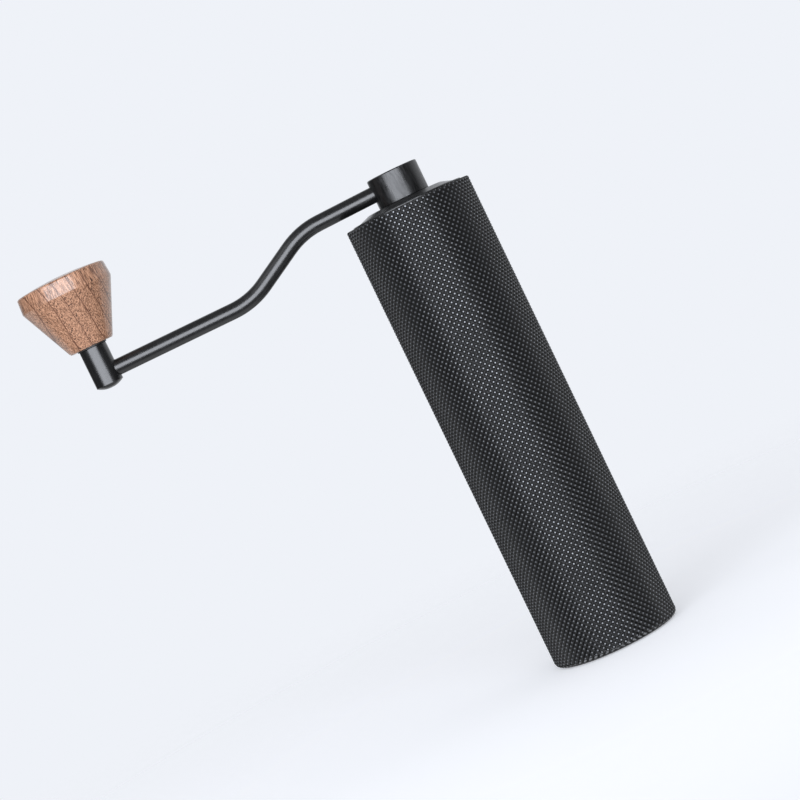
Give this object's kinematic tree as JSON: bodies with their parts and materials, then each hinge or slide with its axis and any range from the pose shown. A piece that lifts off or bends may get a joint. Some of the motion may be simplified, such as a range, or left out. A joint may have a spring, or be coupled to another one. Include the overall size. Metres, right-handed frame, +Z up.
{
  "type": "hand crank coffee grinder",
  "caption": "Slim cylindrical hand coffee grinder with a knurled body, screw-off catch cup, push-in lid, cranked arm and flared wooden knob.",
  "frame": {"origin": "centre of the base pad's lower face, on the body's axis", "axes": "+Z up along the body's axis, crank arm along -X at rest, so -Y is the side seen with the crank on the left"},
  "size_m": [0.161, 0.047, 0.2001],
  "materials": {
    "black_anodised": "knurled, matt black anodised",
    "lid_black": "satin black anodised",
    "hub_black": "satin black anodised",
    "machined_aluminium": "machined",
    "bridge_aluminium": "satin",
    "dial_aluminium": "machined",
    "liner_aluminium": "satin",
    "burr_steel": "ground steel",
    "shaft_steel": "ground steel",
    "clip_steel": "phosphated spring steel",
    "spring_steel": "drawn wire",
    "bearing_steel": "polished",
    "cage_brass": "pressed",
    "sleeve_brass": "turned",
    "arm_black": "satin black coated steel",
    "bush_plastic": "matt",
    "silicone_black": "matt",
    "walnut": "lacquered walnut"
  },
  "bodies": {
    "housing": {"body_tube": "black_anodised", "thread_collar": "machined_aluminium", "hopper_liner": "liner_aluminium", "burr_carrier": "machined_aluminium", "outer_burr": "burr_steel", "lower_bridge": "bridge_aluminium", "upper_bridge": "bridge_aluminium", "lower_outer_race": "bearing_steel", "upper_outer_race": "bearing_steel", "bearing_shields": "bearing_steel"},
    "lid": {"lid_ring": "lid_black", "lid_cap": "lid_black", "lid_seal": "silicone_black", "lid_bush": "bush_plastic"},
    "crank": {"crank_hub": "hub_black", "crank_clip": "clip_steel", "crank_arm": "arm_black", "knob_post": "arm_black", "knob_axle": "shaft_steel", "knob_washer": "bush_plastic"},
    "knob": {"knob_grip": "walnut", "knob_sleeve": "sleeve_brass"},
    "shaft": {"drive_shaft": "shaft_steel", "lower_inner_race": "bearing_steel", "upper_inner_race": "bearing_steel", "shaft_clips": "clip_steel", "spring_washer": "shaft_steel", "burr_spring": "spring_steel"},
    "cone_burr": {"inner_burr": "burr_steel", "click_plate": "shaft_steel"},
    "dial": {"grind_dial": "dial_aluminium", "detent_balls": "bearing_steel"},
    "lower_ball_train": {"lower_cage": "cage_brass", "lower_balls": "bearing_steel"},
    "upper_ball_train": {"upper_cage": "cage_brass", "upper_balls": "bearing_steel"},
    "cup_seal": {"cup_gasket": "silicone_black"},
    "catch_cup": {"cup_shell": "black_anodised", "base_pad": "silicone_black"}
  },
  "joints": [
    {"name": "lid_lift", "type": "slide", "parent": "housing", "child": "lid", "axis": [0, 0, 1], "range_m": [0, 0.03]},
    {"name": "crank_turn", "type": "hinge", "parent": "lid", "child": "crank", "pos_m": [0, 0, 0.17225], "axis": [0, 0, -1], "continuous": true},
    {"name": "knob_spin", "type": "hinge", "parent": "crank", "child": "knob", "pos_m": [-0.1206, 0, 0.1734], "axis": [0, 0, 1], "continuous": true},
    {"name": "shaft_spin", "type": "hinge", "parent": "housing", "child": "shaft", "pos_m": [0, 0, 0.088], "axis": [0, 0, -1], "continuous": true},
    {"name": "burr_shift", "type": "slide", "parent": "shaft", "child": "cone_burr", "axis": [0, 0, -1], "range_m": [0, 0.003], "deforming": ["burr_spring"]},
    {"name": "dial_turn", "type": "hinge", "parent": "cone_burr", "child": "dial", "pos_m": [0, 0, 0.061], "axis": [0, 0, -1], "range_deg": [0, 1080]},
    {"name": "lower_ball_roll", "type": "hinge", "parent": "housing", "child": "lower_ball_train", "pos_m": [0, 0, 0.088], "axis": [0, 0, -1], "continuous": true},
    {"name": "upper_ball_roll", "type": "hinge", "parent": "housing", "child": "upper_ball_train", "pos_m": [0, 0, 0.1515], "axis": [0, 0, -1], "continuous": true},
    {"name": "cup_pull", "type": "slide", "parent": "housing", "child": "cup_seal", "axis": [0, 0, -1], "range_m": [0, 0.065]},
    {"name": "cup_turn", "type": "hinge", "parent": "cup_seal", "child": "catch_cup", "pos_m": [0, 0, 0.05], "axis": [0, 0, -1], "range_deg": [0, 540]}
  ],
  "couplings": [
    {"joint": "shaft_spin", "follows": "crank_turn", "ratio": 1},
    {"joint": "lower_ball_roll", "follows": "crank_turn", "ratio": 0.4},
    {"joint": "upper_ball_roll", "follows": "crank_turn", "ratio": 0.4},
    {"joint": "dial_turn", "follows": "burr_shift", "rad_per_m": 6283.2}
  ]
}
